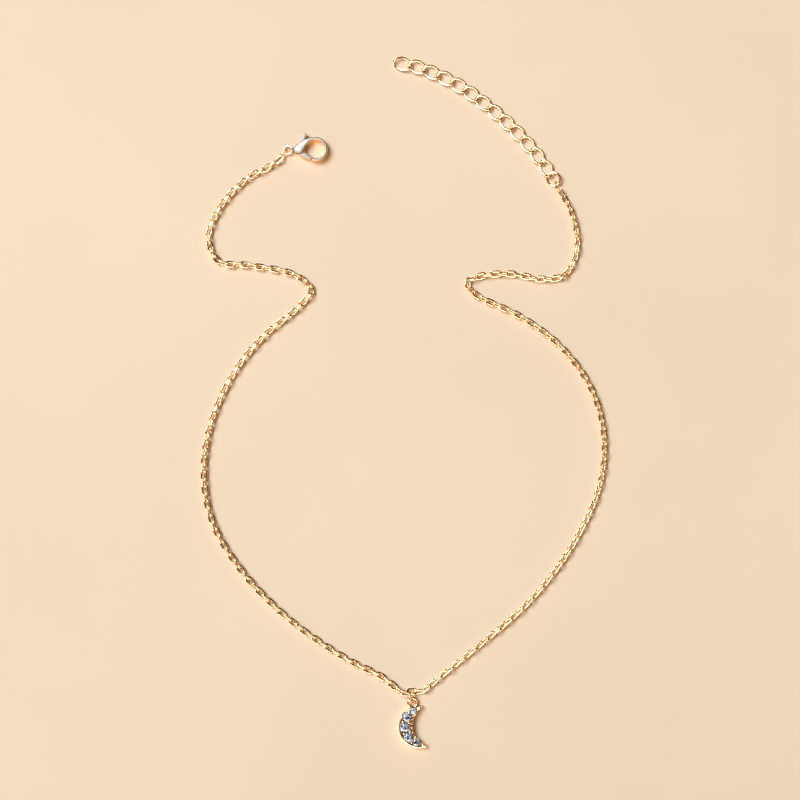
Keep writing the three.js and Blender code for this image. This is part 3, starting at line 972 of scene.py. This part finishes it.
def prong_places(a, b):
    """The two places beside the joint of neighbouring stones where a bead holds both."""
    start, end = Vector(a[0]), Vector(b[0])
    apart = (end - start).length
    reach_a = a[1] / 2 + PRONG_REACH + STONE_FIT
    reach_b = b[1] / 2 + PRONG_REACH + STONE_FIT
    along = (apart ** 2 + reach_a ** 2 - reach_b ** 2) / (2 * apart)
    aside = math.sqrt(reach_a ** 2 - along ** 2)
    direction = (end - start).normalized()
    normal = Vector((-direction.y, direction.x))
    return [start + direction * along + normal * offset for offset in (-aside, aside)]


def rim_cutter():
    """What is cut away, so that the rim's top falls inwards from a narrow edge."""
    fall = math.tan(math.radians(RIM_SLOPE))
    low, high = (
        (without_repeats(crescent_arcs(margin)), SETTING_THICKNESS - (margin - RIM_EDGE) * fall)
        for margin in (RIM_WIDTH, -RIM_EDGE)
    )
    return slab(*low, *high)


def setting_mesh():
    """A tray with a thin rim, in which five cups, the beads and the loop stand."""
    top = SETTING_THICKNESS
    tray = plate(crescent_arcs(RIM_WIDTH), 2 * TRAY_DEPTH, TRAY_ROUNDING, z=top, segments=1)
    steps = [("DIFFERENCE", rim_cutter()), ("DIFFERENCE", tray)]
    for tip, bead in ((TOP_TIP, TOP_BEAD), (BOTTOM_TIP, BOTTOM_BEAD)):
        steps.append(("UNION", dome(TIP_RADIUS, TIP_FOOT, top - TIP_FALL, *tip)))
        steps.append(("UNION", dome(BEAD_RADIUS, BEAD_FOOT, top + TIP_BEAD_RISE, *bead)))
    for at, diameter in STONES:
        steps.append(("UNION", drum(diameter / 2 + CUP_WALL, CUP_FOOT, top - CUP_FALL, *at)))
    loop_place = Matrix.Translation((*LOOP_CENTRE, top / 2))
    loop = moved(ring(2 * LOOP_RADIUS + LOOP_WIRE, LOOP_WIRE), loop_place)
    steps.append(("UNION", raw_mesh(loop)))
    for a, b in zip(STONES, STONES[1:]):
        for place in prong_places(a, b):
            steps.append(("UNION", dome(BEAD_RADIUS, BEAD_FOOT, top + PRONG_RISE, *place)))
    for place in arc(INNER_ARC_RADIUS + ROW_MARGIN, *ROW_ANGLES, ROW_BEADS - 1, arc_centres()[1]):
        steps.append(("UNION", dome(ROW_RADIUS, BEAD_FOOT, top + ROW_RISE, *place)))
    for at, diameter in STONES:
        seat = drum(diameter / 2 - SEAT_NARROWING, SEAT_FLOOR, top + SEAT_HEADROOM, *at,
                    top_radius=diameter / 2 + STONE_FIT + SEAT_FLARE)
        steps.append(("DIFFERENCE", seat))
    return combined(plate(crescent_arcs(), top, SETTING_ROUNDING, z=top / 2, segments=2), steps)


def brilliant(diameter, turn):
    """A round brilliant: table, stars, kites, upper halves, girdle, lower halves and mains."""
    girdle = diameter / 2

    def circle(radius, z, count, shift=0):
        return [on_circle(radius, turn + 360 * (i + shift) / count) + (z,) for i in range(count)]

    vertices = circle(TABLE_RADIUS * girdle, TABLE_HEIGHT * diameter, 8)
    vertices += circle(CROWN_RADIUS * girdle, CROWN_HEIGHT * diameter, 8, 0.5)
    vertices += circle(girdle, GIRDLE_HALF, 16)
    vertices += circle(girdle, -GIRDLE_HALF, 16)
    vertices += circle(PAVILION_RADIUS * girdle, -PAVILION_DEPTH * diameter, 8, 0.5)
    vertices.append((0, 0, -CULET_DEPTH * diameter))
    # Where each circle's corners start, after the table's.
    crown, over, under, pavilion, culet = 8, 16, 32, 48, 56
    faces = [list(range(8))]
    for i in range(8):
        after, before = (i + 1) % 8, (i - 1) % 8
        upper, upper_half, upper_next = (over + (2 * i + step) % 16 for step in range(3))
        lower, lower_half, lower_next = (under + (2 * i + step) % 16 for step in range(3))
        faces += [
            (i, crown + i, after),
            (i, crown + before, upper, crown + i),
            (crown + i, upper, upper_half),
            (crown + i, upper_half, upper_next),
            (upper, lower, lower_half, upper_half),
            (upper_half, lower_half, lower_next, upper_next),
            (pavilion + i, lower_half, lower),
            (pavilion + i, lower_next, lower_half),
            (pavilion + i, lower, pavilion + before, culet),
        ]
    return vertices, faces


def add_pendant():
    body = finished(setting_mesh(), sharp=SETTING_SHARP_EDGE)
    add_piece("crescent_casting", body, GOLD, "crescent", "crescent_setting")
    for number, (at, diameter) in enumerate(STONES, 1):
        place = Matrix.Translation((*at, GIRDLE_HEIGHT))
        mesh = mesh_of([moved(brilliant(diameter, STONE_TURN * number), place)], sharp=FACET_EDGE)
        bm = bmesh.new()
        bm.from_mesh(mesh)
        bmesh.ops.recalc_face_normals(bm, faces=bm.faces)
        bm.to_mesh(mesh)
        bm.free()
        add_piece(f"brilliant_{number}", mesh, CRYSTAL, "crescent", f"stone_{number}")
    lean = Matrix.Rotation(math.pi / 2 + math.radians(BAIL_RING_LEAN), 4, "Y")
    jump_ring = moved(ring(BAIL_RING_DIAMETER, BAIL_RING_WIRE),
                      Matrix.Translation(BAIL_RING_CENTRE) @ lean)
    add_piece("bail_jump_ring", mesh_of([jump_ring]), GOLD, "bail_ring", "bail_ring")


add_pendant()

# ---------------------------------------------------------------- floor


def add_floor():
    bm = bmesh.new()
    bmesh.ops.create_grid(bm, x_segments=FLOOR_CELLS, y_segments=FLOOR_CELLS, size=FLOOR_HALF)
    mesh = bpy.data.meshes.new("floor")
    bm.to_mesh(mesh)
    bm.free()
    mesh.materials.append(pale_surface())
    floor = bpy.data.objects.new("floor", mesh)
    bpy.context.scene.collection.objects.link(floor)


add_floor()
